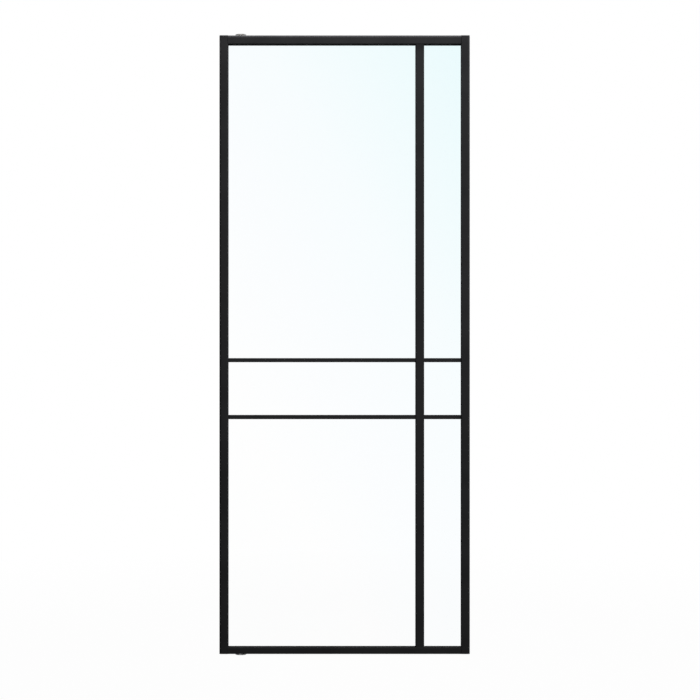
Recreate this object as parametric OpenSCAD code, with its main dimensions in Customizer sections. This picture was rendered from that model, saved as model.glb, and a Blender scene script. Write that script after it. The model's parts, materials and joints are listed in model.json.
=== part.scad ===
// Glazed pivot door leaf: slim black aluminium frame, two panes and bonded glazing bars.
// X runs along the width, Y from the front (-Y) to the back, Z up from the finished floor.

/* [Leaf] */
// Width of the leaf
leaf_w = 826; // [700:1:1000]
// Height of the leaf
leaf_h = 2040; // [1800:1:2300]
// Depth of the frame from front to back
leaf_d = 40; // [38:1:48]

/* [Frame profile] */
// Face width of the stiles and the mullion
face_w = 28.5; // [26:0.5:40]
// Face width of the top rail
head_face_w = 29.5; // [27.5:0.5:40]
// Face width of the bottom rail
foot_face_w = 21.5; // [21:0.5:40]
// Height of the glazing rebate, from its floor to the sight line
rebate_h = 10; // [9:0.5:11]
// Wall of the frame extrusions
wall = 2; // [1.6:0.1:2.4]
// Radius of the outer long edges
edge_r = 8; // [3:0.5:9]
// Radius of the lower edges of the bottom rail
foot_r = 2; // [1:0.5:7]
// Radius of the front edges next to the glass
sight_r = 3; // [0.5:0.1:3.2]
// Radius of the small edges inside the rebate
inner_r = 0.8; // [0.3:0.1:1]
// Thickness of the flat caps on the feet of the stiles
cap_t = 1.5; // [1:0.1:1.9]
// Thickness of the rounded caps on the heads of the stiles
head_cap_t = 4; // [3.7:0.1:5]
// Radius of the rim of the rounded caps
cap_r = 3.5; // [1:0.1:3.8]
// Length of the pegs that hold an end cap
peg_l = 9; // [6:0.5:14]

/* [Glazing] */
// Thickness of the glass
glass_t = 6; // [5:0.5:8]
// Room between the edge of the glass and the floor of the rebate
edge_gap = 3; // [2:0.5:3.5]
// Thickness of the gaskets
gasket_t = 3; // [2.5:0.5:4]
// Width of the gaskets
gasket_w = 6; // [5:0.5:6.5]
// Step from the back of the frame to the glazing beads
bead_step = 3; // [1:0.5:4]
// Wall of the glazing beads
bead_wall = 1.5; // [1.2:0.1:1.7]
// Length of the setting blocks under the glass
setting_l = 40; // [25:1:50]

/* [Mullion and bars] */
// Clear width of the narrow field
narrow_w = 122; // [110:1:250]
// Step from the face of the frame to the mullion
mullion_step = 3; // [1:0.5:4]
// Radius of the front edges of the mullion
mullion_r = 4; // [1:0.5:5]
// Width of the glazing bars
bar_w = 13.5; // [10:0.5:24]
// Depth of the glazing bars
bar_d = 9; // [6:0.5:10]
// Radius of the outer edges of the glazing bars
bar_r = 2; // [0.4:0.1:3]
// Thickness of the bonding tape
tape_t = 1; // [0.8:0.1:1.5]
// Height of the upper bar's middle above the foot of the leaf
upper_bar_z = 968.5; // [900:0.5:1100]
// Height of the lower bar's middle above the foot of the leaf
lower_bar_z = 780.5; // [600:0.5:860]

/* [Pivots] */
// Distance of the pivot axis from the left edge of the leaf
pivot_in = 70; // [66:1:100]
// Gap between the floor and the leaf
floor_gap = 5; // [4.5:0.5:12]
// Gap between the leaf and the ceiling plate
ceiling_gap = 3; // [2:0.5:10]
// Diameter of the pivot pins
pin_d = 10; // [8:0.5:12]
// Wall of the pivot bushes
bush_wall = 2; // [1.5:0.1:3]
// Diameter of the bush flange and the collar under it
flange_d = 18; // [17:0.5:20]
// Thickness of the thrust washer
washer_t = 1.5; // [1:0.1:1.9]
// Diameter of the floor and ceiling plates
plate_d = 36; // [35:0.5:39]
// Thickness of the floor and ceiling plates
plate_t = 2.5; // [2:0.1:2.9]
// Bevel round the rim of the plates
plate_bevel = 0.8; // [0.3:0.1:1.2]
// Diameter of the screw holes in the plates
plate_hole_d = 3.6; // [3:0.1:4]
// Pitch of the four screw holes in the plates
plate_hole_pitch = 18.4; // [18:0.1:19]
// Diameter of the spigots that hold the pins in the plates
spigot_d = 7; // [5:0.5:7.5]
// Bevel on the tips of the pins
pin_bevel = 1; // [0.5:0.1:2]
// Length of the pivot blocks past the pivot axis
pivot_block_past = 45; // [38:1:80]
// Length of the corner blocks
corner_block_l = 55; // [48:1:90]

/* [Fixings] */
// Diameter of the frame screws
screw_d = 4; // [3:0.1:4.2]
// Length of the frame screws under the head
screw_l = 40; // [30:1:44]
// Diameter of the screw heads
head_d = 7; // [6:0.1:7.2]
// Height of the screw heads
head_h = 4; // [2.5:0.1:5]
// Pitch of the two screws in each joint
screw_pitch = 11; // [9.5:0.1:11.4]

/* [Clearances] */
// Radial running clearance of the pins in their bushes
pin_clearance = 0.05; // [0.02:0.01:0.1]
// Clearance of the blocks and pegs in the chambers
fit = 0.2; // [0.1:0.05:0.3]
// Clearance of plugs, screws and bushes in their holes
hole_gap = 0.05; // [0.02:0.01:0.1]
// Gap between the ends of a glazing bar and the frame
bar_gap = 0.4; // [0.2:0.1:1]

/* [Hidden] */
$fn = 64;

// Overlap of cutting shapes past the faces that they cut
cut = 0.5;

// Colours
black = "#26272a";
rubber_black = "#151516";
plastic_black = "#1d1d1f";
tape_grey = "#3a3a3c";
clear_glass = [0.85, 0.96, 0.97, 0.35];
steel = "#c4c6c8";
zinc = "#a9adb1";
brass = "#c9a550";
block_grey = "#8d9094";
setting_white = "#e6e4dd";

// Heights of the leaf
leaf_foot = floor_gap;
leaf_top = leaf_foot + leaf_h;
ceiling_z = leaf_top + ceiling_gap;

// Chambers of the profiles, outside the rebate
chamber_w = face_w - rebate_h;
head_chamber_w = head_face_w - rebate_h;
foot_chamber_w = foot_face_w - rebate_h;
rail_half = leaf_w / 2 - chamber_w;

// Depths of the glazing, counted from the middle of the glass
lip_v = -(glass_t / 2 + gasket_t);
bead_v0 = glass_t / 2 + gasket_t;
bead_v1 = leaf_d / 2 - bead_step;
bead_mid = (bead_v0 + bead_v1) / 2;
bite = rebate_h - edge_gap;

// Gasket foot and the groove that holds it, at a distance from the sight line
gasket_in = 1;
groove_in = 5;
mouth_w = 1.8;
mouth_d = 0.8;
pocket_w = 3.2;
groove_d = 2.2;
lip_back = groove_d + wall;
foot_slack = 0.2;
tooth_d = 0.8;
tooth_w = 1.6;

// Clip rail on the floor of the rebate, and the barbs of the beads under its head
clip_stem_w = 2;
clip_stem_h = 2;
clip_head_t = 1.2;
clip_side_gap = 0.7;
clip_head_w = bead_v1 - bead_v0 - 2 * (bead_wall + clip_side_gap);
barb_d = 1.5;
barb_t = 1.2;
barb_gap = 0.2;
bead_r = 0.8;

// Sight lines of the two fields: left and right, bottom and top
mullion_right = leaf_w / 2 - face_w - narrow_w;
mullion_left = mullion_right - face_w;
mullion_x = mullion_right - face_w / 2;
web_t = face_w - 2 * rebate_h;
wide_x = [-leaf_w / 2 + face_w, mullion_left];
narrow_x = [mullion_right, leaf_w / 2 - face_w];
sight_z = [leaf_foot + foot_face_w, leaf_top - head_face_w];

// Bars and their tape, counted from the face of the glass
tape_in = 1;
tape_sunk = 0.6;
upper_z = leaf_foot + upper_bar_z;
lower_z = leaf_foot + lower_bar_z;

// Screws of the corner and mullion joints
head_room = 0.6;
access_d = head_d + head_room;
screw_hole_d = screw_d + 2 * fit;
screw_v = lip_v + head_d / 2;
screw_vs = [screw_v, screw_v + screw_pitch];
block_screw_v = (screw_vs[0] + screw_vs[1]) / 2;
foot_screw_z = leaf_foot + foot_chamber_w / 2;
head_screw_z = leaf_top - head_chamber_w / 2;

// Pivots
pivot_x = -leaf_w / 2 + pivot_in;
bush_r = pin_d / 2 + bush_wall;
pin_r = pin_d / 2 - pin_clearance;
pin_end = 1;
plate_land = 0.75;
pivot_block_l = pivot_in - chamber_w + pivot_block_past;

// Screws that hold the blocks, counted from the pivot axis and from the right-hand end of a rail
pivot_screw_in = 27;
corner_screw_in = [20, 42];
pivot_screw_xs = [pivot_x - pivot_screw_in, pivot_x + pivot_screw_in];
corner_screw_xs = [for (d = corner_screw_in) rail_half - d];
block_screw_xs = concat(pivot_screw_xs, corner_screw_xs);

// Plane figures

// Rectangle between two opposite corners
module rect(a, b) {
  translate([min(a[0], b[0]), min(a[1], b[1])])
    square([abs(b[0] - a[0]), abs(b[1] - a[1])]);
}

// What a round edge leaves off a corner at p; dir points from the corner into the figure
module corner_waste(p, dir, r) {
  difference() {
    rect(p - cut * dir, p + r * dir);
    translate(p + r * dir) circle(r);
  }
}

// Outline of a frame profile, outer edges of radius r: u from the outer edge inwards, v from front to back
module frame_outline(c, r) {
  difference() {
    union() {
      rect([0, -leaf_d / 2], [c, leaf_d / 2]);
      rect([c - wall, -leaf_d / 2], [c + rebate_h, lip_v]);
    }
    corner_waste([0, -leaf_d / 2], [1, 1], r);
    corner_waste([0, leaf_d / 2], [1, -1], r);
    corner_waste([c, leaf_d / 2], [-1, -1], inner_r);
    corner_waste([c + rebate_h, -leaf_d / 2], [-1, 1], sight_r);
    corner_waste([c + rebate_h, lip_v], [-1, -1], inner_r);
  }
}

// Hollow of a chamber inside edges of radius r, or what fills it with a gap all round
module chamber_bore(c, r, gap) {
  lo = wall + gap;
  side = leaf_d / 2 - lo;
  bore_r = max(r - wall, inner_r);
  difference() {
    rect([lo, -side], [c - lo, side]);
    corner_waste([lo, -side], [1, 1], bore_r);
    corner_waste([lo, side], [1, -1], bore_r);
  }
}

// Undercut groove for the foot of a gasket, in the back of a lip
module gasket_groove(u) {
  rect([u - mouth_w / 2, lip_v - mouth_d - cut / 2], [u + mouth_w / 2, lip_v + cut]);
  rect([u - pocket_w / 2, lip_v - groove_d], [u + pocket_w / 2, lip_v - mouth_d]);
}

// T-shaped rail that the glazing beads clip over, standing on a rebate floor at u
module clip_rail(u) {
  head_u = u + clip_stem_h;
  rect([u - wall / 2, bead_mid - clip_stem_w / 2], [head_u + cut, bead_mid + clip_stem_w / 2]);
  rect([head_u, bead_mid - clip_head_w / 2], [head_u + clip_head_t, bead_mid + clip_head_w / 2]);
}

// Hollow section of the stiles and rails, with a chamber of width c and outer edges of radius r
module frame_profile(c, r) {
  difference() {
    union() {
      frame_outline(c, r);
      clip_rail(c);
    }
    chamber_bore(c, r, 0);
    rect([c, -leaf_d / 2 + wall], [c + rebate_h - wall, lip_v - lip_back]);
    gasket_groove(c + rebate_h - groove_in);
  }
}

// Section of the mullion: hollow front box on a web with clip rails on both sides
module mullion_profile() {
  front = -leaf_d / 2 + mullion_step;
  half = face_w / 2;
  bore_r = max(mullion_r - wall, inner_r);
  difference() {
    union() {
      rect([-half, front], [half, lip_v]);
      rect([-web_t / 2, lip_v - wall], [web_t / 2, bead_v1]);
      for (i = [0, 1])
        mirror([i, 0]) clip_rail(web_t / 2);
    }
    for (i = [-1, 1]) {
      corner_waste([i * half, front], [-i, 1], mullion_r);
      corner_waste([i * half, lip_v], [-i, -1], inner_r);
      gasket_groove(i * (half - groove_in));
    }
    difference() {
      rect([wall - half, front + wall], [half - wall, lip_v - lip_back]);
      for (i = [-1, 1])
        corner_waste([i * (half - wall), front + wall], [-i, 1], bore_r);
    }
    for (v = screw_vs)
      translate([0, v]) circle(d = screw_d + 2 * hole_gap);
  }
}

// Section of a glazing bead standing on the floor of the rebate
module bead_profile() {
  barb_u = clip_stem_h - barb_gap - barb_t;
  difference() {
    rect([0, bead_v0], [rebate_h, bead_v1]);
    rect([-cut, bead_v0 + bead_wall], [rebate_h - bead_wall, bead_v1 - bead_wall]);
    corner_waste([rebate_h, bead_v0], [-1, 1], bead_r);
    corner_waste([rebate_h, bead_v1], [-1, -1], bead_r);
  }
  rect([barb_u, bead_v0 + bead_wall / 2], [barb_u + barb_t, bead_v0 + bead_wall + barb_d]);
  rect([barb_u, bead_v1 - bead_wall / 2], [barb_u + barb_t, bead_v1 - bead_wall - barb_d]);
}

// Section of a gasket body on the front lip, with teeth against the glass
module gasket_profile() {
  u1 = rebate_h - gasket_in;
  u0 = u1 - gasket_w;
  tip = -glass_t / 2;
  rect([u0, lip_v], [u1, tip - tooth_d]);
  for (u = [u0 + tooth_w / 2, (u0 + u1) / 2, u1 - tooth_w / 2])
    polygon([[u - tooth_w / 2, tip - tooth_d - cut / 4], [u + tooth_w / 2, tip - tooth_d - cut / 4],
             [u + tooth_w / 2, tip - tooth_d], [u, tip], [u - tooth_w / 2, tip - tooth_d]]);
}

// Section of a gasket foot in its groove
module gasket_foot_profile() {
  u = rebate_h - groove_in;
  neck = mouth_w / 2 - foot_slack;
  toe = pocket_w / 2 - foot_slack;
  rect([u - neck, lip_v - mouth_d - cut], [u + neck, lip_v + cut]);
  rect([u - toe, lip_v - groove_d + foot_slack], [u + toe, lip_v - mouth_d - foot_slack]);
}

// Runs of a section along the four sides, with u pointing into the leaf

module left_run(x, z) {
  translate([x, 0, z[0]]) linear_extrude(z[1] - z[0]) children();
}

module right_run(x, z) {
  translate([x, 0, z[0]]) mirror([1, 0, 0]) linear_extrude(z[1] - z[0]) children();
}

module bottom_run(z, x) {
  translate([x[1], 0, z]) rotate([0, -90, 0]) linear_extrude(x[1] - x[0]) children();
}

module top_run(z, x) {
  translate([x[1], 0, z]) mirror([0, 0, 1]) rotate([0, -90, 0]) linear_extrude(x[1] - x[0]) children();
}

// Round rod along X, from x[0] to x[1]
module rod_x(x, v, z, d) {
  translate([x[0], v, z]) rotate([0, 90, 0]) cylinder(h = x[1] - x[0], d = d);
}

// Round rod along Z, from z[0] to z[1]
module rod_z(x, v, z, d) {
  translate([x, v, z[0]]) cylinder(h = z[1] - z[0], d = d);
}

// Frame members

// Left stile with its drilled joints; the clip rail stops where the rails butt against it
module stile_shape() {
  edge = -leaf_w / 2;
  inner = edge + chamber_w;
  difference() {
    left_run(edge, [leaf_foot + cap_t, leaf_top - head_cap_t]) frame_profile(chamber_w, edge_r);
    for (z = [[leaf_foot, sight_z[0]], [sight_z[1], leaf_top]])
      translate([inner, lip_v + cut, z[0]])
        cube([rebate_h, leaf_d, z[1] - z[0]]);
    for (z = [foot_screw_z, head_screw_z], v = screw_vs) {
      rod_x([edge - cut, edge + wall + cut], v, z, access_d);
      rod_x([inner - wall - cut, inner + cut], v, z, screw_hole_d);
    }
  }
}

// What is milled off both ends of a rail so that the lips of the stiles run past it
module rail_end_waste(z, h) {
  for (i = [0, 1])
    mirror([i, 0, 0])
      translate([leaf_w / 2 - face_w, -leaf_d / 2 - cut, z])
        cube([face_w, leaf_d / 2 + cut + lip_v, h]);
}

// Countersunk screw, or with a gap the hole for it, down through the rebate floor of a chamber of width c
module block_screw(x, c, gap) {
  r = screw_d / 2 + gap;
  shank_l = c - 2 * wall + gap;
  translate([x, block_screw_v, leaf_foot + c]) {
    translate([0, 0, -wall]) cylinder(h = wall, r1 = r, r2 = r + wall);
    translate([0, 0, -shank_l]) cylinder(h = shank_l - wall / 2, r = r);
  }
}

// Bottom rail in place, drilled for the mullion, the blocks and the pivot
module rail_shape(c, r, face) {
  floor_z = leaf_foot + c;
  difference() {
    bottom_run(leaf_foot, [-rail_half, rail_half]) frame_profile(c, r);
    rail_end_waste(leaf_foot - cut, face + 2 * cut);
    translate([mullion_x - web_t / 2 - fit, 0, floor_z])
      cube([web_t + 2 * fit, leaf_d, rebate_h]);
    for (v = screw_vs) {
      rod_z(mullion_x, v, [leaf_foot - cut, leaf_foot + wall + cut], access_d);
      rod_z(mullion_x, v, [floor_z - wall - cut, floor_z + cut], screw_hole_d);
    }
    rod_z(pivot_x, 0, [leaf_foot - cut, leaf_foot + wall + cut], flange_d + 2 * hole_gap);
    for (x = block_screw_xs)
      block_screw(x, c, hole_gap);
  }
}

// Carries a shape from the foot of the leaf to the same place at its top
module at_top() {
  translate([0, 0, leaf_foot + leaf_top]) mirror([0, 0, 1]) children();
}

module left_stile() {
  color(black) stile_shape();
}

module right_stile() {
  color(black) mirror([1, 0, 0]) stile_shape();
}

module bottom_rail() {
  color(black) rail_shape(foot_chamber_w, foot_r, foot_face_w);
}

module top_rail() {
  color(black) at_top() rail_shape(head_chamber_w, edge_r, head_face_w);
}

module mullion() {
  web_z = [leaf_foot + foot_chamber_w, leaf_top - head_chamber_w];
  color(black) difference() {
    left_run(mullion_x, web_z) mullion_profile();
    for (z = [[web_z[0] - cut, sight_z[0]], [sight_z[1], web_z[1] + cut]]) {
      translate([mullion_x - face_w, -leaf_d, z[0]])
        cube([2 * face_w, leaf_d + lip_v, z[1] - z[0]]);
      for (i = [-1, 1])
        translate([mullion_x + i * (web_t + face_w) / 2 - face_w / 2, lip_v - cut, z[0]])
          cube([face_w, leaf_d, z[1] - z[0]]);
    }
  }
}

// Glazing

module pane(x) {
  translate([x[0] - bite, -glass_t / 2, sight_z[0] - bite])
    cube([x[1] - x[0] + 2 * bite, glass_t, sight_z[1] - sight_z[0] + 2 * bite]);
}

module wide_pane() {
  color(clear_glass) pane(wide_x);
}

module narrow_pane() {
  color(clear_glass) pane(narrow_x);
}

// Bar on one face of a pane: side is -1 in front and 1 behind
module glazing_bar(x, z, side) {
  bar_back = glass_t / 2 + tape_t - tape_sunk;
  translate([x[0] + bar_gap, 0, z]) mirror([0, side < 0 ? 1 : 0, 0]) rotate([90, 0, 90])
    linear_extrude(x[1] - x[0] - 2 * bar_gap) difference() {
      rect([bar_back, -bar_w / 2], [bar_back + bar_d, bar_w / 2]);
      rect([bar_back - cut, tape_in - bar_w / 2], [bar_back + tape_sunk, bar_w / 2 - tape_in]);
      for (i = [-1, 1])
        corner_waste([bar_back + bar_d, i * bar_w / 2], [-1, -i], bar_r);
    }
}

module front_upper_bar_wide() {
  color(black) glazing_bar(wide_x, upper_z, -1);
}

module front_upper_bar_narrow() {
  color(black) glazing_bar(narrow_x, upper_z, -1);
}

module front_lower_bar_wide() {
  color(black) glazing_bar(wide_x, lower_z, -1);
}

module front_lower_bar_narrow() {
  color(black) glazing_bar(narrow_x, lower_z, -1);
}

module back_upper_bar_wide() {
  color(black) glazing_bar(wide_x, upper_z, 1);
}

module back_upper_bar_narrow() {
  color(black) glazing_bar(narrow_x, upper_z, 1);
}

module back_lower_bar_wide() {
  color(black) glazing_bar(wide_x, lower_z, 1);
}

module back_lower_bar_narrow() {
  color(black) glazing_bar(narrow_x, lower_z, 1);
}

// Tape between each bar and the glass
module bar_tapes() {
  tape_w = bar_w - 2 * tape_in - 2 * fit;
  color(tape_grey)
    for (x = [wide_x, narrow_x], z = [upper_z, lower_z], side = [-1, 1])
      translate([x[0] + bar_gap, (glass_t + tape_t) / 2 * side - tape_t / 2, z - tape_w / 2])
        cube([x[1] - x[0] - 2 * bar_gap, tape_t, tape_w]);
}

// Glazing beads: the level ones run from floor to floor of the rebates, the upright ones fit between them

module top_bead(x) {
  top_run(sight_z[1] + rebate_h, [x[0] - rebate_h, x[1] + rebate_h]) bead_profile();
}

module bottom_bead(x) {
  bottom_run(sight_z[0] - rebate_h, [x[0] - rebate_h, x[1] + rebate_h]) bead_profile();
}

module left_bead(x) {
  left_run(x[0] - rebate_h, sight_z) bead_profile();
}

module right_bead(x) {
  right_run(x[1] + rebate_h, sight_z) bead_profile();
}

module wide_top_bead() {
  color(black) top_bead(wide_x);
}

module wide_bottom_bead() {
  color(black) bottom_bead(wide_x);
}

module wide_left_bead() {
  color(black) left_bead(wide_x);
}

module wide_right_bead() {
  color(black) right_bead(wide_x);
}

module narrow_top_bead() {
  color(black) top_bead(narrow_x);
}

module narrow_bottom_bead() {
  color(black) bottom_bead(narrow_x);
}

module narrow_left_bead() {
  color(black) left_bead(narrow_x);
}

module narrow_right_bead() {
  color(black) right_bead(narrow_x);
}

// Four strips of gasket body round a field
module gasket_strips(x) {
  outer = gasket_in + gasket_w;
  across = [x[0] - outer, x[1] + outer];
  upright = [sight_z[0] - gasket_in, sight_z[1] + gasket_in];
  bottom_run(sight_z[0] - rebate_h, across) gasket_profile();
  top_run(sight_z[1] + rebate_h, across) gasket_profile();
  left_run(x[0] - rebate_h, upright) gasket_profile();
  right_run(x[1] + rebate_h, upright) gasket_profile();
}

// Feet of the four strips, between the sight lines
module gasket_feet(x) {
  bottom_run(sight_z[0] - rebate_h, x) gasket_foot_profile();
  top_run(sight_z[1] + rebate_h, x) gasket_foot_profile();
  left_run(x[0] - rebate_h, sight_z) gasket_foot_profile();
  right_run(x[1] + rebate_h, sight_z) gasket_foot_profile();
}

module wide_front_gasket() {
  color(rubber_black) {
    gasket_strips(wide_x);
    gasket_feet(wide_x);
  }
}

module narrow_front_gasket() {
  color(rubber_black) {
    gasket_strips(narrow_x);
    gasket_feet(narrow_x);
  }
}

module wide_back_gasket() {
  color(rubber_black) mirror([0, 1, 0]) gasket_strips(wide_x);
}

module narrow_back_gasket() {
  color(rubber_black) mirror([0, 1, 0]) gasket_strips(narrow_x);
}

// Two blocks under each pane, at its quarter points
module setting_blocks() {
  setting_d = glass_t + gasket_t;
  color(setting_white)
    for (x = [wide_x, narrow_x], share = [0.25, 0.75])
      translate([x[0] + share * (x[1] - x[0]) - setting_l / 2, -setting_d / 2, sight_z[0] - rebate_h])
        cube([setting_l, setting_d, edge_gap]);
}

// End caps, blocks and fixings

// Two pegs in the chamber of the left stile, which hold a cap of thickness t
module cap_pegs(t) {
  peg_v = leaf_d / 2 - wall - fit;
  peg_d = peg_v - screw_vs[1] - access_d / 2 - fit;
  translate([0, 0, t - cut]) linear_extrude(peg_l + cut) intersection() {
    chamber_bore(chamber_w, edge_r, fit);
    for (i = [-1, 1])
      rect([0, i * (peg_v - peg_d)], [chamber_w, i * peg_v]);
  }
}

// Flat cap on the foot of the left stile
module foot_cap() {
  translate([-leaf_w / 2, 0, leaf_foot]) {
    linear_extrude(cap_t) frame_outline(chamber_w, edge_r);
    cap_pegs(cap_t);
  }
}

// Cap for the head of the left stile, upside down at its foot; its rim is round except along the rail
module head_cap() {
  half = leaf_d / 2;
  translate([-leaf_w / 2, 0, leaf_foot]) {
    intersection() {
      linear_extrude(head_cap_t) frame_outline(chamber_w, edge_r);
      rotate([90, 0, 90]) linear_extrude(face_w) difference() {
        rect([-half, 0], [half, head_cap_t]);
        for (i = [-1, 1])
          corner_waste([i * half, 0], [-i, 1], cap_r);
      }
      translate([0, half, 0]) rotate([90, 0, 0]) linear_extrude(leaf_d) difference() {
        rect([0, 0], [face_w, head_cap_t]);
        corner_waste([0, 0], [1, 1], cap_r);
      }
    }
    cap_pegs(head_cap_t);
  }
}

module bottom_left_cap() {
  color(plastic_black) foot_cap();
}

module bottom_right_cap() {
  color(plastic_black) mirror([1, 0, 0]) foot_cap();
}

module top_left_cap() {
  color(plastic_black) at_top() head_cap();
}

module top_right_cap() {
  color(plastic_black) at_top() mirror([1, 0, 0]) head_cap();
}

// Block in the left end of the bottom rail, with a tongue that meets the stile
module joint_block(c, r, length) {
  shoulder = leaf_w / 2 - face_w - fit;
  difference() {
    bottom_run(leaf_foot, [-rail_half, -rail_half + length]) chamber_bore(c, r, fit);
    translate([-rail_half - cut, -leaf_d / 2, leaf_foot])
      cube([rail_half - shoulder + cut, leaf_d / 2 + lip_v + fit, c]);
    for (v = screw_vs)
      rod_x([-rail_half - cut, -rail_half + screw_l], v, leaf_foot + c / 2, screw_d + 2 * hole_gap);
  }
}

// Block that carries the bush of a pivot
module pivot_block(c, r) {
  difference() {
    joint_block(c, r, pivot_block_l);
    rod_z(pivot_x, 0, [leaf_foot, leaf_foot + c], 2 * (bush_r + hole_gap));
    for (x = pivot_screw_xs)
      block_screw(x, c, hole_gap);
  }
}

// Block in a right-hand corner
module corner_block(c, r) {
  difference() {
    mirror([1, 0, 0]) joint_block(c, r, corner_block_l);
    for (x = corner_screw_xs)
      block_screw(x, c, hole_gap);
  }
}

module bottom_pivot_block() {
  color(block_grey) pivot_block(foot_chamber_w, foot_r);
}

module top_pivot_block() {
  color(block_grey) at_top() pivot_block(head_chamber_w, edge_r);
}

module bottom_corner_block() {
  color(block_grey) corner_block(foot_chamber_w, foot_r);
}

module top_corner_block() {
  color(block_grey) at_top() corner_block(head_chamber_w, edge_r);
}

// Frame screw pointing along +Z, with its head below the seat at the origin
module frame_screw() {
  translate([0, 0, -head_h]) cylinder(h = head_h, d = head_d);
  translate([0, 0, -cut]) cylinder(h = screw_l + cut, d = screw_d);
}

// Two screws through each stile into the block of each rail
module corner_screws() {
  seat = leaf_w / 2 - chamber_w + wall;
  color(zinc)
    for (i = [0, 1], z = [foot_screw_z, head_screw_z], v = screw_vs)
      mirror([i, 0, 0]) translate([-seat, v, z]) rotate([0, 90, 0]) frame_screw();
}

// Plugs in the access holes of the stiles
module corner_plugs() {
  color(plastic_black)
    for (i = [0, 1], z = [foot_screw_z, head_screw_z], v = screw_vs)
      mirror([i, 0, 0]) rod_x([-leaf_w / 2, -leaf_w / 2 + wall], v, z, access_d - 2 * hole_gap);
}

// Two screws through each rail into the web of the mullion
module mullion_screws() {
  color(zinc)
    for (v = screw_vs) {
      translate([mullion_x, v, leaf_foot + foot_chamber_w - wall]) frame_screw();
      at_top() translate([mullion_x, v, leaf_foot + head_chamber_w - wall]) frame_screw();
    }
}

// Plugs in the access holes of the rails
module mullion_plugs() {
  plug_d = access_d - 2 * hole_gap;
  color(plastic_black)
    for (v = screw_vs) {
      rod_z(mullion_x, v, [leaf_foot, leaf_foot + wall], plug_d);
      at_top() rod_z(mullion_x, v, [leaf_foot, leaf_foot + wall], plug_d);
    }
}

// Countersunk screws that hold the blocks in the rails
module block_screws() {
  color(zinc)
    for (x = block_screw_xs) {
      block_screw(x, foot_chamber_w, 0);
      at_top() block_screw(x, head_chamber_w, 0);
    }
}

// Flanged bush of a pivot in the foot of the leaf
module bush(c) {
  top = leaf_foot + c - wall - fit;
  difference() {
    union() {
      rod_z(pivot_x, 0, [leaf_foot, top], 2 * bush_r);
      rod_z(pivot_x, 0, [leaf_foot, leaf_foot + wall + fit], flange_d);
    }
    rod_z(pivot_x, 0, [leaf_foot - cut, top + cut], pin_d);
  }
}

module bottom_bush() {
  color(brass) bush(foot_chamber_w);
}

module top_bush() {
  color(brass) at_top() bush(head_chamber_w);
}

// Fixed pivots

// Round plate with a bevelled rim and four countersunk screw holes, lying on the floor
module fixing_plate() {
  rim = plate_d / 2;
  seat_r = spigot_d / 2 + hole_gap;
  sink = plate_t - plate_land;
  difference() {
    rotate_extrude()
      polygon([
        [seat_r, 0],
        [rim, 0],
        [rim, plate_t - plate_bevel],
        [rim - plate_bevel, plate_t],
        [seat_r, plate_t]
      ]);
    for (i = [-1, 1], j = [-1, 1])
      translate([i * plate_hole_pitch / 2, j * plate_hole_pitch / 2, 0]) {
        translate([0, 0, -cut]) cylinder(h = plate_t + 2 * cut, d = plate_hole_d);
        translate([0, 0, plate_land])
          cylinder(h = sink + cut, d1 = plate_hole_d, d2 = plate_hole_d + 2 * (sink + cut));
      }
  }
}

// Upright pin of a pivot with a bevelled tip, from its root to its tip
module pivot_pin(root, tip) {
  length = abs(tip - root);
  translate([pivot_x, 0, root]) mirror([0, 0, tip < root ? 1 : 0]) rotate_extrude()
    polygon([
      [0, 0],
      [pin_r, 0],
      [pin_r, length - pin_bevel],
      [pin_r - pin_bevel, length],
      [0, length]
    ]);
}

module floor_plate() {
  color(steel) translate([pivot_x, 0, 0]) fixing_plate();
}

module ceiling_plate() {
  color(steel) translate([pivot_x, 0, ceiling_z + plate_t]) mirror([0, 0, 1]) fixing_plate();
}

// Pin riveted into the floor plate, with a collar under the thrust washer
module floor_pin() {
  collar_top = floor_gap - washer_t;
  pin_top = leaf_foot + foot_chamber_w - wall - fit - pin_end;
  color(steel) {
    rod_z(pivot_x, 0, [0, plate_t + cut], spigot_d);
    rod_z(pivot_x, 0, [plate_t, collar_top], flange_d);
    pivot_pin(collar_top - cut, pin_top);
  }
}

module thrust_washer() {
  color(brass) difference() {
    rod_z(pivot_x, 0, [floor_gap - washer_t, floor_gap], flange_d);
    rod_z(pivot_x, 0, [0, floor_gap + cut], pin_d + 2 * fit);
  }
}

// Pin held in the ceiling plate, entering the top bush from above
module ceiling_pin() {
  pin_foot = leaf_top - head_chamber_w + wall + fit + pin_end;
  color(steel) {
    pivot_pin(ceiling_z, pin_foot);
    rod_z(pivot_x, 0, [ceiling_z - cut, ceiling_z + plate_t], spigot_d);
  }
}

left_stile();
right_stile();
top_rail();
bottom_rail();
mullion();
wide_pane();
narrow_pane();
front_upper_bar_wide();
front_upper_bar_narrow();
front_lower_bar_wide();
front_lower_bar_narrow();
back_upper_bar_wide();
back_upper_bar_narrow();
back_lower_bar_wide();
back_lower_bar_narrow();
bar_tapes();
wide_top_bead();
wide_bottom_bead();
wide_left_bead();
wide_right_bead();
narrow_top_bead();
narrow_bottom_bead();
narrow_left_bead();
narrow_right_bead();
wide_front_gasket();
wide_back_gasket();
narrow_front_gasket();
narrow_back_gasket();
top_left_cap();
top_right_cap();
bottom_left_cap();
bottom_right_cap();
setting_blocks();
top_corner_block();
bottom_corner_block();
top_pivot_block();
bottom_pivot_block();
corner_screws();
corner_plugs();
mullion_screws();
mullion_plugs();
block_screws();
top_bush();
bottom_bush();
floor_plate();
floor_pin();
thrust_washer();
ceiling_plate();
ceiling_pin();
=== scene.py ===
# %% [markdown]
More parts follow.
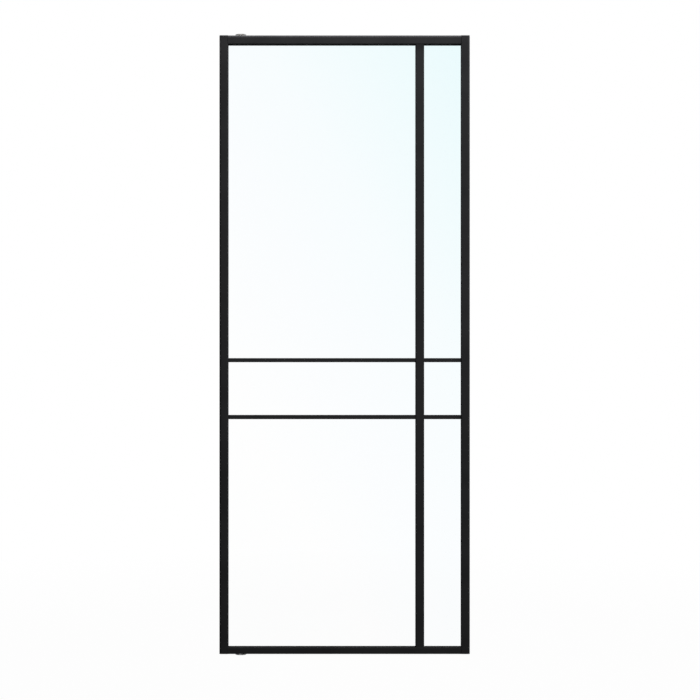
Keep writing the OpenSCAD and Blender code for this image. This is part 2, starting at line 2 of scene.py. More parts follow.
# A glass door leaf: a slim black frame, one upright mullion right of the middle, two level glazing bars
# and two panes of clear glass. The leaf turns on a pivot in the floor and one in the ceiling.
# Its solids come in as a fixed frame, at real size, so this lesson adds only the finishes, the small
# fittings and the light. The box of the solids is kept first, and the floor is laid at its bottom.

# %% Load the door's solids
import bpy
import json
import math
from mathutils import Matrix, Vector


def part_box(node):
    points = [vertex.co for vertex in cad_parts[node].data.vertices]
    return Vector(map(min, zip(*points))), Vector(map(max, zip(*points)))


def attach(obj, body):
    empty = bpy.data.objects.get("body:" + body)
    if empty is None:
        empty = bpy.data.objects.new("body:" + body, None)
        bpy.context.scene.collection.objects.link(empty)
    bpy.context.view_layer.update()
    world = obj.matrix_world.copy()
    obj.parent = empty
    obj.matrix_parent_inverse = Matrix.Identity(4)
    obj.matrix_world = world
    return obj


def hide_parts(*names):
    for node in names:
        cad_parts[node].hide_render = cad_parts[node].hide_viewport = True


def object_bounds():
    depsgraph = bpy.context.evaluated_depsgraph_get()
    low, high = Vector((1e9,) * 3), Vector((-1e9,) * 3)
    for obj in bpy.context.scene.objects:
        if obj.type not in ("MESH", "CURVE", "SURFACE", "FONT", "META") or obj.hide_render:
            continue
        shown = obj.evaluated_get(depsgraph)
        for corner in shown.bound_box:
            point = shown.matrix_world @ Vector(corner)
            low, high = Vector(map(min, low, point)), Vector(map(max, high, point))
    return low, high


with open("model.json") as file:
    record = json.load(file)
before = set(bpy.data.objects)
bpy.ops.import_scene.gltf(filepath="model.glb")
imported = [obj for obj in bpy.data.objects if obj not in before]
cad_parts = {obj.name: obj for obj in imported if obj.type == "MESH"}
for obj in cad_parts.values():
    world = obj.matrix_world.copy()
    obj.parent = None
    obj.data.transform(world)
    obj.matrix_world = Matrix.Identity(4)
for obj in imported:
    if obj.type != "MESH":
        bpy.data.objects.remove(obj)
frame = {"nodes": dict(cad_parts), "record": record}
solid_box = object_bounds()
solids = frame["nodes"]
slot_of = {row["node"]: row["material_slot"] for row in frame["record"]["subparts"]}
print(len(solids), "solids, box in metres", [list(corner) for corner in solid_box])

# %% [markdown]
# The door was pictured straight from the front. A leaf of known width covers a known share of the square
# picture, which gives the metres in one pixel, and with a chosen distance that gives the lens.
# The camera could be shifted to put the leaf off the middle. Moving it sideways and down by the same
# small amount does the same for a flat door, and leaves the lens straight for every other view.

# %% Camera
PICTURE_PX = 700
LEAF_WIDTH_PX = 250.67
LEAF_MIDDLE_PX = (344.6, 344.56)
CAMERA_DISTANCE = 6.0
SENSOR_WIDTH_MM = 36.0

leaf_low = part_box("left_stile")[0]
leaf_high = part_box("right_stile")[1]
cap_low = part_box("bottom_left_cap")[0]
cap_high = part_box("top_left_cap")[1]
leaf_middle_z = (cap_low.z + cap_high.z) / 2
metres_per_px = (leaf_high.x - leaf_low.x) / LEAF_WIDTH_PX
right_px = PICTURE_PX / 2 - LEAF_MIDDLE_PX[0]
down_px = PICTURE_PX / 2 - LEAF_MIDDLE_PX[1]

bpy.ops.object.select_all(action="DESELECT")
bpy.ops.object.camera_add()
camera = bpy.context.object
camera.name = "front_camera"
camera.data.sensor_width = SENSOR_WIDTH_MM
camera.data.lens = SENSOR_WIDTH_MM * CAMERA_DISTANCE / (PICTURE_PX * metres_per_px)
camera.location = (
    right_px * metres_per_px,
    leaf_low.y - CAMERA_DISTANCE,
    leaf_middle_z - down_px * metres_per_px,
)
camera.rotation_euler = (math.radians(90), 0, 0)
bpy.context.scene.camera = camera
bpy.context.scene.view_settings.view_transform = "Standard"
print("lens", round(camera.data.lens, 2), "mm, camera at", [round(v, 3) for v in camera.location])

# %% [markdown]
# The surroundings and every finish are trees of nodes. Two small helpers, one for a Math node and one for a
# Mix Shader, save most of the wiring by hand. Both return a socket, ready for the next link.

# %% Helpers for nodes
def math_step(tree, operation, first, second):
    """The output of a Math node fed by two values, each a socket or a plain number."""
    step = tree.nodes.new("ShaderNodeMath")
    step.operation = operation
    for socket, value in zip(step.inputs, (first, second)):
        if isinstance(value, float):
            socket.default_value = value
        else:
            tree.links.new(value, socket)
    return step.outputs[0]


def mix_shaders(tree, share, first, second):
    """The output of a Mix Shader that goes from the first shader to the second by a share."""
    mix = tree.nodes.new("ShaderNodeMixShader")
    tree.links.new(share, mix.inputs["Fac"])
    tree.links.new(first.outputs[0], mix.inputs[1])
    tree.links.new(second.outputs[0], mix.inputs[2])
    return mix.outputs[0]


print("node helpers ready")

# %% [markdown]
# A catalogue picture stands the door in pure white. White lamps strong enough for that would wash out the
# black frame, so the room is split by kind of ray: what looks at the room sees white at strength 1, and
# what the room sheds on the door is a quiet grey. Rays that bounce off or pass through glass count as
# looking too, so the panes show the same white that stands around them. A ray that has already left a matt
# surface carries light and no longer looks, so the frame beside the glass isn't lit by that white.

# %% White surroundings
AMBIENT = 0.08
HALF_A_BOUNCE = 0.5


def looking_rays(tree):
    """A socket that is 1 for rays that look at the surroundings, straight or by glass and gloss."""
    path = tree.nodes.new("ShaderNodeLightPath")
    seen = path.outputs["Is Camera Ray"]
    for kind in ("Is Glossy Ray", "Is Transmission Ray"):
        seen = math_step(tree, "MAXIMUM", seen, path.outputs[kind])
    before_matt = math_step(tree, "LESS_THAN", path.outputs["Diffuse Depth"], HALF_A_BOUNCE)
    return math_step(tree, "MULTIPLY", seen, before_matt)


room = bpy.data.worlds.new("white_room")
bpy.context.scene.world = room
room.use_nodes = True
tree = room.node_tree
tree.nodes.clear()
shed = tree.nodes.new("ShaderNodeBackground")
shed.inputs["Strength"].default_value = AMBIENT
seen_white = tree.nodes.new("ShaderNodeBackground")
seen_white.inputs["Color"].default_value = (1, 1, 1, 1)
out = tree.nodes.new("ShaderNodeOutputWorld")
tree.links.new(mix_shaders(tree, looking_rays(tree), shed, seen_white), out.inputs["Surface"])
print("surroundings: white to look at, ambient light", AMBIENT)

# %% [markdown]
# The floor is a plain pale sheet under the floor plate. Close to the door a part of its colour is real
# diffuse paint, which takes the door's soft shadow, and the rest is plain white. Further out it fades to
# white alone, so no horizon shows. A spherical gradient on object coordinates makes that fade: it is 1 at
# the door and 0 at the fade's radius.

# %% Pale floor
FLOOR_SIZE = 60.0
FLOOR_PAINT = 0.25
PLAIN_SHARE_NEAR = 0.98
FADE_RADIUS = 3.2
FADE_START = 0.6

bpy.ops.object.select_all(action="DESELECT")
bpy.ops.mesh.primitive_plane_add(size=FLOOR_SIZE, location=(0, 0, solid_box[0].z))
floor = bpy.context.object
floor.name = "pale_floor"
bpy.ops.object.transform_apply(location=True)

paint = bpy.data.materials.new("pale_floor_paint")
paint.use_nodes = True
tree = paint.node_tree
tree.nodes.clear()
place = tree.nodes.new("ShaderNodeTexCoord")
reach = tree.nodes.new("ShaderNodeMapping")
reach.inputs["Scale"].default_value = (1 / FADE_RADIUS,) * 3
fade = tree.nodes.new("ShaderNodeTexGradient")
fade.gradient_type = "SPHERICAL"
share = tree.nodes.new("ShaderNodeMapRange")
share.inputs["From Max"].default_value = FADE_START
share.inputs["To Min"].default_value = 1.0
share.inputs["To Max"].default_value = PLAIN_SHARE_NEAR
matt = tree.nodes.new("ShaderNodeBsdfDiffuse")
matt.inputs["Color"].default_value = (FLOOR_PAINT, FLOOR_PAINT, FLOOR_PAINT, 1)
glow = tree.nodes.new("ShaderNodeEmission")
out = tree.nodes.new("ShaderNodeOutputMaterial")
tree.links.new(place.outputs["Object"], reach.inputs["Vector"])
tree.links.new(reach.outputs["Vector"], fade.inputs["Vector"])
tree.links.new(fade.outputs[1], share.inputs["Value"])
plain_share = math_step(tree, "MULTIPLY", share.outputs[0], looking_rays(tree))
tree.links.new(mix_shaders(tree, plain_share, matt, glow), out.inputs["Surface"])
floor.data.materials.append(paint)
print("floor at height", round(solid_box[0].z, 4))

# %% [markdown]
# The light is that of a small studio. A long strip hangs over the door, just in front of it, so the top edge
# shines and the frame's face gets darker on the way down. A gridded box at the front right, whose beam is
# narrowed and aimed at the upper half, fills the face, and a weak one at the right lifts the edges that
# turn that way. Two boxes behind the door show its back and left side, and hardly touch the front.

# %% Softboxes
def softbox(name, place, aim, size, watts, beam=180):
    """A rectangular lamp at place that faces the point aim, with a beam of so many degrees."""
    bpy.ops.object.select_all(action="DESELECT")
    bpy.ops.object.light_add(type="AREA", location=place)
    lamp = bpy.context.object
    lamp.name = name
    lamp.data.shape = "RECTANGLE"
    lamp.data.size, lamp.data.size_y = size
    lamp.data.energy = watts
    lamp.data.spread = math.radians(beam)
    lamp.rotation_euler = (Vector(aim) - Vector(place)).to_track_quat("-Z", "Y").to_euler()
    lamp.visible_camera = lamp.visible_glossy = lamp.visible_transmission = False
    print(name, "at", place, watts, "W")


softbox("top_softbox", place=(0.15, -0.04, 2.4), aim=(0.15, -0.03, 1.6), size=(1.8, 0.1), watts=32)
softbox("side_softbox", place=(2.4, -0.8, 1.0), aim=(0.0, 0.0, 1.0), size=(0.8, 1.4), watts=15)
softbox("fill_softbox", place=(1.2, -3.2, 2.5), aim=(-0.35, 0.0, 1.6), size=(1.0, 1.0), watts=36, beam=100)
softbox("back_softbox", place=(1.5, 4.0, 2.0), aim=(0.0, 0.0, 1.1), size=(1.0, 1.0), watts=100)
softbox("left_softbox", place=(-2.2, 2.2, 1.4), aim=(-0.3, 0.0, 1.0), size=(0.6, 1.4), watts=22)

# %% [markdown]
# Every finish starts from one Principled shader. Patterns read object coordinates, so they stay on the
# metal when the door swings. Noise at the size of the real grain drives the colour, the roughness and a
# shallow bump. These helpers make one noise, one colour range, one roughness range and one bump. Nearly
# all of a noise lies between two levels, so colour and roughness run from one of them to the other.

# %% Helpers for finishes
NOISE_LOW, NOISE_HIGH = 0.3, 0.7


def start_finish(name):
    """A new material, its node tree and its Principled shader."""
    finish = bpy.data.materials.new(name)
    finish.use_nodes = True
    return finish, finish.node_tree, finish.node_tree.nodes["Principled BSDF"]


def grain(tree, size, detail, stretch=(1, 1, 1)):
    """Noise whose blots are about size metres across, drawn out along an axis by stretch."""
    place = tree.nodes.new("ShaderNodeTexCoord")
    fit = tree.nodes.new("ShaderNodeMapping")
    fit.inputs["Scale"].default_value = [1 / (size * longer) for longer in stretch]
    noise = tree.nodes.new("ShaderNodeTexNoise")
    noise.inputs["Scale"].default_value = 1.0
    noise.inputs["Detail"].default_value = detail
    tree.links.new(place.outputs["Object"], fit.inputs["Vector"])
    tree.links.new(fit.outputs["Vector"], noise.inputs["Vector"])
    return noise.outputs[0]


def tint(tree, shader, value, stops):
    """Base colour from a value, through stops of (position, colour)."""
    ramp = tree.nodes.new("ShaderNodeValToRGB")
    marks = ramp.color_ramp.elements
    while len(marks) < len(stops):
        marks.new(1.0)
    for mark, (position, colour) in zip(marks, stops):
        mark.position = position
        mark.color = (*colour, 1)
    tree.links.new(value, ramp.inputs["Fac"])
    tree.links.new(ramp.outputs["Color"], shader.inputs["Base Color"])


def dullness(tree, shader, value, smooth, rough):
    """Roughness between two levels, driven by a noise."""
    level = tree.nodes.new("ShaderNodeMapRange")
    level.inputs["From Min"].default_value = NOISE_LOW
    level.inputs["From Max"].default_value = NOISE_HIGH
    level.inputs["To Min"].default_value = smooth
    level.inputs["To Max"].default_value = rough
    tree.links.new(value, level.inputs["Value"])
    tree.links.new(level.outputs[0], shader.inputs["Roughness"])


def relief(tree, shader, value, depth, strength):
    """A shallow bump of depth metres, driven by a noise."""
    bump = tree.nodes.new("ShaderNodeBump")
    bump.inputs["Strength"].default_value = strength
    bump.inputs["Distance"].default_value = depth
    tree.links.new(value, bump.inputs["Height"])
    tree.links.new(bump.outputs["Normal"], shader.inputs["Normal"])


finishes = {}
print("finishes to make:", sorted(set(slot_of.values())))

# %% [markdown]
# The frame, mullion, bars and beads are extruded aluminium with a black powder coat. Powder melts into a
# film with a very fine texture, so the coat is satin, never glossy, and its shade drifts slightly along a
# profile. A coarse noise gives the drift and a fine one the texture in roughness and relief.

# %% Black powder coat
COAT_DARK = (0.0175, 0.0175, 0.0185)
COAT_LIGHT = (0.0215, 0.0215, 0.0225)


def powder_coat():
    finish, tree, shader = start_finish("black_powder_coat")
    drift = grain(tree, size=0.09, detail=2.0)
    texture = grain(tree, size=0.0011, detail=4.0)
    tint(tree, shader, drift, [(NOISE_LOW, COAT_DARK), (NOISE_HIGH, COAT_LIGHT)])
    dullness(tree, shader, texture, smooth=0.74, rough=0.9)
    relief(tree, shader, texture, depth=0.00006, strength=0.25)
    shader.inputs["Specular IOR Level"].default_value = 0.012
    return finish


finishes["black_frame"] = powder_coat()
print("made", finishes["black_frame"].name)

# %% [markdown]
# The panes are clear toughened glass, nearly colourless. A painted reflection, a breath of blue-green that
# grows towards the upper right corner, is laid into their colour. A linear gradient, turned to that slope,
# carries it.
# Light from lamps has to pass a pane, and a refracting shader would stop it, so rays from lamps meet a
# transparent shader.

# %% Clear glass
# Slope, reach and middle place the gradient of the painted reflection across the panes.
PAINTED_REFLECTION_SLOPE = math.radians(30)
PAINTED_REFLECTION_REACH = 1.7
PAINTED_REFLECTION_MIDDLE = 0.5
# Stops from the glass's own near-white colour to the painted reflection's blue-green at the upper right.
GLASS_TINT_AND_PAINTED_REFLECTION = [
    (0.26, (0.99, 0.992, 0.992)),
    (0.5, (0.958, 0.982, 0.996)),
    (0.66, (0.932, 0.98, 0.994)),
    (1.0, (0.82, 0.964, 0.98)),
]
LAMP_TINT = (0.93, 0.97, 0.97, 1)


def clear_glass():
    finish, tree, shader = start_finish("clear_glass")
    place = tree.nodes.new("ShaderNodeTexCoord")
    centre = tree.nodes.new("ShaderNodeMapping")
    centre.inputs["Location"].default_value = (0, 0, -leaf_middle_z)
    turn = tree.nodes.new("ShaderNodeMapping")
    turn.inputs["Rotation"].default_value = (0, PAINTED_REFLECTION_SLOPE, 0)
    turn.inputs["Location"].default_value = (PAINTED_REFLECTION_MIDDLE, 0, 0)
    turn.inputs["Scale"].default_value = (1 / PAINTED_REFLECTION_REACH,) * 3
    reflection_gradient = tree.nodes.new("ShaderNodeTexGradient")
    tree.links.new(place.outputs["Object"], centre.inputs["Vector"])
    tree.links.new(centre.outputs["Vector"], turn.inputs["Vector"])
    tree.links.new(turn.outputs["Vector"], reflection_gradient.inputs["Vector"])
    # The glass's near-white colour, with the painted reflection growing towards the upper right.
    tint(tree, shader, reflection_gradient.outputs[1], GLASS_TINT_AND_PAINTED_REFLECTION)
    shader.inputs["Transmission Weight"].default_value = 1.0
    shader.inputs["Roughness"].default_value = 0.0
    shader.inputs["IOR"].default_value = 1.45
    path = tree.nodes.new("ShaderNodeLightPath")
    through = tree.nodes.new("ShaderNodeBsdfTransparent")
    through.inputs["Color"].default_value = LAMP_TINT
    pane = mix_shaders(tree, path.outputs["Is Shadow Ray"], shader, through)
    tree.links.new(pane, tree.nodes["Material Output"].inputs["Surface"])
    return finish


finishes["clear_glass"] = clear_glass()
print("made", finishes["clear_glass"].name)

# %% [markdown]
# The gaskets are extruded rubber and the tape under the bars is grey foam. Both are dull and dark. Rubber
# has a faint bloom and foam has open cells, so they differ in the size of the noise, and the foam's two
# shades lie closer together on it, which draws its cells sharper.

# %% Gasket rubber and bonding tape
RUBBER_DARK = (0.010, 0.010, 0.0105)
RUBBER_LIGHT = (0.015, 0.015, 0.016)
FOAM_STOPS = [(0.35, (0.026, 0.026, 0.028)), (0.65, (0.05, 0.05, 0.053))]


def rubber():
    finish, tree, shader = start_finish("gasket_rubber")
    bloom = grain(tree, size=0.004, detail=4.0)
    tint(tree, shader, bloom, [(NOISE_LOW, RUBBER_DARK), (NOISE_HIGH, RUBBER_LIGHT)])
    dullness(tree, shader, bloom, smooth=0.62, rough=0.78)
    relief(tree, shader, bloom, depth=0.0001, strength=0.2)
    shader.inputs["Specular IOR Level"].default_value = 0.12
    return finish


def foam_tape():
    finish, tree, shader = start_finish("foam_tape")
    cells = grain(tree, size=0.0005, detail=2.0)
    tint(tree, shader, cells, FOAM_STOPS)
    dullness(tree, shader, cells, smooth=0.75, rough=0.95)
    relief(tree, shader, cells, depth=0.0002, strength=0.5)
    shader.inputs["Specular IOR Level"].default_value = 0.1
    return finish


finishes["gasket_rubber"] = rubber()
finishes["bonding_tape"] = foam_tape()
print("made", finishes["gasket_rubber"].name, "and", finishes["bonding_tape"].name)

# %% [markdown]
# End caps and hole plugs are moulded in black plastic, with the fine spark-eroded skin of the mould. The
# setting blocks under the glass are off-white plastic, smoother and slightly mottled.

# %% Moulded plastics
def moulded_plastic(name, dark, light, smooth, rough, shine):
    finish, tree, shader = start_finish(name)
    mottle = grain(tree, size=0.006, detail=2.0)
    skin = grain(tree, size=0.0004, detail=3.0)
    tint(tree, shader, mottle, [(NOISE_LOW, dark), (NOISE_HIGH, light)])
    dullness(tree, shader, skin, smooth, rough)
    relief(tree, shader, skin, depth=0.00005, strength=0.3)
    shader.inputs["Specular IOR Level"].default_value = shine
    return finish


finishes["black_plastic"] = moulded_plastic(
    "black_plastic", dark=(0.016, 0.016, 0.017), light=(0.021, 0.021, 0.022),
    smooth=0.6, rough=0.75, shine=0.03)
finishes["setting_plastic"] = moulded_plastic(
    "setting_plastic", dark=(0.74, 0.73, 0.67), light=(0.8, 0.79, 0.74),
    smooth=0.35, rough=0.5, shine=0.5)
print("made", finishes["black_plastic"].name, "and", finishes["setting_plastic"].name)

# %% [markdown]
# Inside the rail ends sit sawn aluminium blocks, zinc plated screws hold the corners, bronze bushes carry
# the pins, and the pivot plates are brushed steel. Each bare metal is told apart by how its grain runs:
# drawn out along the extrusion, blotchy on the plating, in level rings round the turned bronze, or in one
# long brushed direction.

# %% Bare metals
METAL_SLOTS = ("block_aluminium", "screw_steel", "bush_brass", "pivot_steel")


def bare_metal(name, dark, light, size, stretch, smooth, rough, depth):
    finish, tree, shader = start_finish(name)
    lines = grain(tree, size, detail=4.0, stretch=stretch)
    tint(tree, shader, lines, [(NOISE_LOW, dark), (NOISE_HIGH, light)])
    dullness(tree, shader, lines, smooth, rough)
    relief(tree, shader, lines, depth, strength=0.25)
    shader.inputs["Metallic"].default_value = 1.0
    return finish


finishes["block_aluminium"] = bare_metal(
    "mill_aluminium", dark=(0.52, 0.53, 0.55), light=(0.66, 0.67, 0.69),
    size=0.0006, stretch=(60, 1, 1), smooth=0.32, rough=0.5, depth=0.00005)
finishes["screw_steel"] = bare_metal(
    "zinc_plate", dark=(0.52, 0.54, 0.58), light=(0.70, 0.70, 0.68),
    size=0.0016, stretch=(1, 1, 1), smooth=0.22, rough=0.4, depth=0.00003)
finishes["bush_brass"] = bare_metal(
    "turned_bronze", dark=(0.60, 0.42, 0.17), light=(0.76, 0.58, 0.29),
    size=0.0004, stretch=(8, 8, 1), smooth=0.22, rough=0.38, depth=0.00004)
finishes["pivot_steel"] = bare_metal(
    "brushed_steel", dark=(0.84, 0.845, 0.85), light=(0.92, 0.925, 0.93),
    size=0.0003, stretch=(80, 1, 1), smooth=0.22, rough=0.36, depth=0.00003)
print("made", [finishes[slot].name for slot in METAL_SLOTS])

# %% [markdown]
# Each solid already has one material slot, named by the part's record. Putting the finish into that slot
# dresses the solid and leaves its mesh as it is.

# %% Dress the solids
for name, solid in solids.items():
    solid.material_slots[0].material = finishes[slot_of[name]]
print("dressed", len(solids), "solids in", len(finishes), "finishes")

# %% [markdown]
# The small fittings are modelled here, because their solids are plain rods. Several equal fittings share one
# solid node, so a copy of that node is taken apart first: loose islands become separate objects, their boxes
# are read, and the copy is deleted. By eye one could snap to them. Measuring in code keeps the fit exact.

# %% Where the fittings sit
NEAR = 1e-6
FITTING_NODES = ("corner_plugs", "mullion_plugs", "corner_screws", "mullion_screws", "block_screws")


def select_only(thing):
    """Deselect everything, then select one object and make it active."""
    bpy.ops.object.select_all(action="DESELECT")
    bpy.context.view_layer.objects.active = thing
    thing.select_set(True)


def own_copy(thing):
    """A copy of an object in the scene, with a mesh of its own."""
    copy = thing.copy()
    copy.data = thing.data.copy()
    bpy.context.scene.collection.objects.link(copy)
    return copy


def corner_of(island, extreme):
    """The low or high corner of an object's mesh, found with min or max."""
    places = [vertex.co for vertex in island.data.vertices]
    return Vector([extreme(place[axis] for place in places) for axis in range(3)])


def boxes_in(node):
    """Low and high corner of each separate solid in a node, read from a merged copy of it."""
    select_only(own_copy(solids[node]))
    bpy.ops.object.mode_set(mode="EDIT")
    bpy.ops.mesh.select_all(action="SELECT")
    bpy.ops.mesh.remove_doubles(threshold=NEAR)
    bpy.ops.mesh.separate(type="LOOSE")
    bpy.ops.object.mode_set(mode="OBJECT")
    islands = bpy.context.selected_objects
    boxes = [(corner_of(island, min), corner_of(island, max)) for island in islands]
    bpy.ops.object.delete()
    return sorted(boxes, key=lambda box: [round(v, 4) for v in box[0]])


fitting_boxes = {}
for node in FITTING_NODES:
    fitting_boxes[node] = boxes_in(node)
    print(node, len(fitting_boxes[node]), "solids")

# %% [markdown]
# A fitting is placed by one end of its box and by the way that end faces. Plugs and cap screws show their
# outer end, away from the middle of the leaf, and countersunk screws their inner one. Each copy gets a mesh
# of its own, and its turn and place are applied to that mesh, so its object sits at the origin as every
# solid's does.

# %% Helpers for placing
ALONG_X, ALONG_Z = 0, 2
OUTER, INNER = 1, -1


def end_of(box, axis, side):
    """Middle of a box's outer or inner end along an axis, and the way that end faces."""
    low, high = box
    middle = (low + high) / 2
    leaf_middle = Vector((0, 0, leaf_middle_z))
    way = Vector((0, 0, 0))
    way[axis] = side if middle[axis] > leaf_middle[axis] else -side
    return middle + way * (high[axis] - low[axis]) / 2, way


def fit_copies(model, name, node, slot, placings):
    """Copies of a model, its +Z face turned to each way at each place, that stand for a node."""
    for number, (place, way) in enumerate(placings, 1):
        piece = own_copy(model)
        piece.name = piece.data.name = f"{name}_{number}"
        select_only(piece)
        piece.location = place
        piece.rotation_euler = Vector((0, 0, 1)).rotation_difference(way).to_euler()
        bpy.ops.object.transform_apply(location=True, rotation=True, scale=True)
        piece.data.materials.clear()
        piece.data.materials.append(finishes[slot])
        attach(piece, "leaf")
        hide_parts(node)
    print(len(placings), "copies of", model.name, "for", node)


def clear_model(model):
    """Delete the model that the copies were taken from."""
    select_only(model)
    bpy.ops.object.delete()


print("placing helpers ready")

# %% [markdown]
# Work in edit mode is a row of selections and tools. These helpers select faces by centre and normal, or
# edges by their two ends, start a piece as a cylinder, and pull the selected faces up or down.

# %% Helpers for modelling
FACING = 0.9


def pick_faces(test):
    """Leave selected only the faces whose centre and normal pass the test."""
    bpy.ops.mesh.select_mode(type="FACE")
    bpy.ops.mesh.select_all(action="DESELECT")
    bpy.ops.object.mode_set(mode="OBJECT")
    for face in bpy.context.object.data.polygons:
        face.select = test(face.center, face.normal)
    bpy.ops.object.mode_set(mode="EDIT")


def faces_up(centre, normal):
    return normal.z > FACING


def faces_down(centre, normal):
    return normal.z < -FACING


def pick_edges(test):
    """Leave selected only the edges whose two ends pass the test."""
    bpy.ops.mesh.select_mode(type="EDGE")
    bpy.ops.mesh.select_all(action="DESELECT")
    bpy.ops.object.mode_set(mode="OBJECT")
    mesh = bpy.context.object.data
    for edge in mesh.edges:
        edge.select = all(test(mesh.vertices[i].co) for i in edge.vertices)
    bpy.ops.object.mode_set(mode="EDIT")


def pull(rise, widen=1.0):
    """Extrude the selected faces by rise along Z and scale them about that axis."""
    bpy.ops.mesh.extrude_region_move(TRANSFORM_OT_translate={"value": (0, 0, rise)})
    bpy.ops.transform.resize(value=(widen, widen, 1), center_override=(0, 0, 0))


def start_cylinder(sides, radius, top, bottom):
    """A cylinder on the Z axis from top down to bottom, open for editing."""
    bpy.ops.object.select_all(action="DESELECT")
    bpy.ops.mesh.primitive_cylinder_add(
        vertices=sides, radius=radius, depth=top - bottom, location=(0, 0, (top + bottom) / 2))
    bpy.ops.object.transform_apply(location=True)
    bpy.ops.object.mode_set(mode="EDIT")
    return bpy.context.object


print("modelling helpers ready")

# %% [markdown]
# The screws' access holes are closed by press-in plugs of black plastic. A real plug lies flush with the
# coat, with a soft rim and a shallow dish, and behind it a hollow skirt with a snap bead grips the wall.
# A short cylinder gets all of that: insets sink the dish, a bevel softens the rim, extrusions make the skirt.
# A dish ring is (inset, drop), from the rim inwards. A skirt step is (rise, widening): the neck, the bead
# and the lead-in below it.

# %% Hole plugs
PLUG_SIDES = 48
DISH_RINGS = ((0.0008, 0), (0.0003, 0.00012), (0.0005, 0.00022), (0.0008, 0.0001))
RIM_BEVEL = 0.0003
RIM_SEGMENTS = 3
SKIRT_INSET = 0.0004
SKIRT_STEPS = ((-0.0006, 1.0), (-0.0004, 1.14), (-0.0009, 0.84))
SKIRT_WALL = 0.0007
SKIRT_HOLLOW = 0.0017
PLUG_SMOOTH = math.radians(35)

plug_low, plug_high = fitting_boxes["corner_plugs"][0]
plug_radius = (plug_high.y - plug_low.y) / 2
plug_thick = plug_high.x - plug_low.x

plug = start_cylinder(PLUG_SIDES, plug_radius, 0, -plug_thick)
plug.name = "hole_plug"
pick_faces(faces_up)
for step, drop in DISH_RINGS:
    bpy.ops.mesh.inset(thickness=step, depth=-drop)
pick_edges(lambda end: end.z > -NEAR and end.xy.length > plug_radius - NEAR)
bpy.ops.mesh.bevel(offset=RIM_BEVEL, segments=RIM_SEGMENTS, affect="EDGES")
pick_faces(faces_down)
bpy.ops.mesh.inset(thickness=SKIRT_INSET)
for rise, widen in SKIRT_STEPS:
    pull(rise, widen)
bpy.ops.mesh.inset(thickness=SKIRT_WALL)
pull(SKIRT_HOLLOW)
bpy.ops.object.mode_set(mode="OBJECT")
bpy.ops.object.shade_smooth_by_angle(angle=PLUG_SMOOTH)
for name, axis in (("corner_plug", ALONG_X), ("mullion_plug", ALONG_Z)):
    node = name + "s"
    placings = [end_of(box, axis, OUTER) for box in fitting_boxes[node]]
    fit_copies(plug, name, node, "black_plastic", placings)
clear_model(plug)

# %% [markdown]
# A screw's thread could be a bump in its finish, but a bump has no outline and no mesh of its own, so the
# thread is wound as real geometry. One tooth's outline is drawn by extruding a single vertex, and a Screw
# modifier winds it up the rod. Two bisections cut it to length, with a threshold far below the usual one,
# which would draw the fine points together. The tip is the lower cut, pulled down and narrowed.

# %% Thread
THREAD_PITCH = 0.0007
THREAD_DEPTH = 0.61 * THREAD_PITCH
THREAD_FLANK, THREAD_CREST = 0.44 * THREAD_PITCH, 0.12 * THREAD_PITCH
THREAD_STEPS = 14
TURNS_BELOW, TURNS_ABOVE = 2, 1
CUT_THRESHOLD = 1e-7
TIP_HEIGHT = 0.0006
TIP_NARROWING = 0.72


def threaded_rod(radius, top, bottom):
    """A rod with a wound thread between two heights, with a blunt tip at the bottom."""
    bpy.ops.object.select_all(action="DESELECT")
    bpy.ops.mesh.primitive_plane_add(size=THREAD_PITCH)
    rod = bpy.context.object
    bpy.ops.object.mode_set(mode="EDIT")
    bpy.ops.mesh.select_mode(type="VERT")
    bpy.ops.mesh.select_all(action="SELECT")
    bpy.ops.mesh.merge(type="CENTER")
    bpy.ops.mesh.select_all(action="SELECT")
    bpy.ops.transform.translate(value=(radius - THREAD_DEPTH, 0, bottom - TURNS_BELOW * THREAD_PITCH))
    for out, up in ((THREAD_DEPTH, THREAD_FLANK), (0, THREAD_CREST), (-THREAD_DEPTH, THREAD_FLANK)):
        bpy.ops.mesh.extrude_region_move(TRANSFORM_OT_translate={"value": (out, 0, up)})
    bpy.ops.object.mode_set(mode="OBJECT")
    winding = rod.modifiers.new("winding", "SCREW")
    winding.screw_offset = THREAD_PITCH
    winding.iterations = math.ceil((top - bottom) / THREAD_PITCH) + TURNS_BELOW + TURNS_ABOVE
    winding.steps = winding.render_steps = THREAD_STEPS
    bpy.ops.object.modifier_apply(modifier="winding")
    bpy.ops.object.mode_set(mode="EDIT")
    bpy.ops.mesh.select_all(action="SELECT")
    bpy.ops.mesh.remove_doubles(threshold=NEAR)
    tip_top = bottom + TIP_HEIGHT
    for height, way in ((top, 1), (tip_top, -1)):
        bpy.ops.mesh.select_all(action="SELECT")
        bpy.ops.mesh.bisect(
            plane_co=(0, 0, height), plane_no=(0, 0, way),
            clear_outer=True, use_fill=True, threshold=CUT_THRESHOLD)
    pick_faces(lambda centre, normal: abs(centre.z - tip_top) < NEAR and abs(normal.z) > FACING)
    pull(-TIP_HEIGHT, TIP_NARROWING)
    bpy.ops.mesh.select_all(action="SELECT")
    bpy.ops.mesh.normals_make_consistent(inside=False)
    bpy.ops.object.mode_set(mode="OBJECT")
    return rod


print("thread of", round(THREAD_PITCH * 1000, 2), "mm pitch")

# %% [markdown]
# Socket cap screws join the frame's corners and countersunk ones hold the blocks, so one function makes both
# heads. A cylinder is bevelled round its face or narrowed at its foot, a hexagonal socket that ends in a
# flat cone is cut out of it by a boolean, and a second boolean joins it to its rod. The depths of socket and
# cone, and the place inside the head where the rod starts, are shares of the head's height.

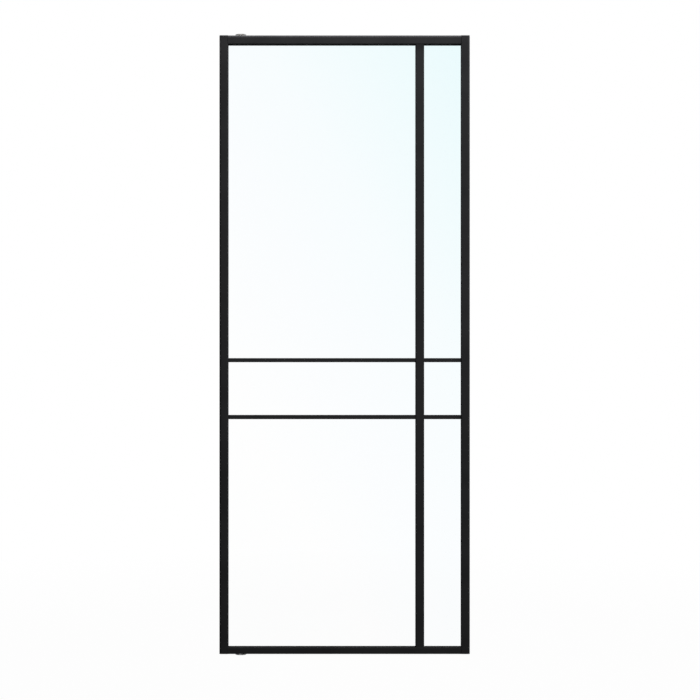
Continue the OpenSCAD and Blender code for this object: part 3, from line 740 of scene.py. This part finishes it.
# %% Screw heads
HEAD_SIDES = 42
HEAD_BEVEL = 0.0004
HEAD_BEVEL_SEGMENTS = 3
SOCKET_SIDES = 6
SOCKET_ABOVE = 0.001
SOCKET_DEPTH, CONE_DEPTH, ROD_START = 0.6, 0.1, 0.75
CONE_NARROWING = 0.3
SCREW_SMOOTH = math.radians(28)


def cut_or_join(body, tool, operation):
    """Apply a boolean of a tool to a body, and delete the tool."""
    select_only(body)
    step = body.modifiers.new("step", "BOOLEAN")
    step.object = tool
    step.operation = operation
    bpy.ops.object.modifier_apply(modifier="step")
    clear_model(tool)


def socket_screw(name, length, rod_radius, head_radius, head_height, key_width, sunk):
    """A screw along Z, its head's face at z = 0 and its tip at -length."""
    head = start_cylinder(HEAD_SIDES, head_radius, 0, -head_height)
    head.name = name
    if sunk:
        foot_share = rod_radius / head_radius
        pick_faces(faces_down)
        bpy.ops.transform.resize(value=(foot_share, foot_share, 1), center_override=(0, 0, 0))
    else:
        pick_edges(lambda end: end.z > -NEAR)
        bpy.ops.mesh.bevel(offset=HEAD_BEVEL, segments=HEAD_BEVEL_SEGMENTS, affect="EDGES")
    bpy.ops.object.mode_set(mode="OBJECT")
    key = start_cylinder(SOCKET_SIDES, key_width / math.sqrt(3), SOCKET_ABOVE, -SOCKET_DEPTH * head_height)
    pick_faces(faces_down)
    pull(-CONE_DEPTH * head_height, CONE_NARROWING)
    bpy.ops.object.mode_set(mode="OBJECT")
    cut_or_join(head, key, "DIFFERENCE")
    cut_or_join(head, threaded_rod(rod_radius, -ROD_START * head_height, -length), "UNION")
    select_only(head)
    bpy.ops.object.shade_smooth_by_angle(angle=SCREW_SMOOTH)
    print(name, len(head.data.polygons), "faces, length", round(length, 4))
    return head


print("screw head of", HEAD_SIDES, "sides")

# %% [markdown]
# Cap screws go from the stiles into the blocks in the rail ends, and from the rails into the mullion's ends.
# They are all of one length, so one model serves for both.

# %% Cap screws of the corners and the mullion
SCREW_RADIUS = 0.002
CAP_HEIGHT, CAP_KEY = 0.004, 0.003

screw_low, screw_high = fitting_boxes["corner_screws"][0]
cap_screw = socket_screw(
    "cap_screw", screw_high.x - screw_low.x, SCREW_RADIUS, (screw_high.y - screw_low.y) / 2,
    CAP_HEIGHT, CAP_KEY, sunk=False)
for name, axis in (("corner_screw", ALONG_X), ("mullion_screw", ALONG_Z)):
    node = name + "s"
    placings = [end_of(box, axis, OUTER) for box in fitting_boxes[node]]
    fit_copies(cap_screw, name, node, "screw_steel", placings)
clear_model(cap_screw)

# %% [markdown]
# The countersunk screws go the other way: their heads lie in the floor of the glass rebate and face the
# middle of the leaf. The top rail is deeper than the bottom rail, so it takes a longer screw.

# %% Countersunk screws of the blocks
SUNK_HEIGHT, SUNK_KEY = 0.002, 0.0025

for rail, at_foot in (("foot", True), ("head", False)):
    boxes = [box for box in fitting_boxes["block_screws"] if (box[0].z < leaf_middle_z) == at_foot]
    screw_low, screw_high = boxes[0]
    sunk_screw = socket_screw(
        f"sunk_screw_{rail}", screw_high.z - screw_low.z, SCREW_RADIUS, (screw_high.y - screw_low.y) / 2,
        SUNK_HEIGHT, SUNK_KEY, sunk=True)
    placings = [end_of(box, ALONG_Z, INNER) for box in boxes]
    fit_copies(sunk_screw, f"{rail}_block_screw", "block_screws", "screw_steel", placings)
    clear_model(sunk_screw)
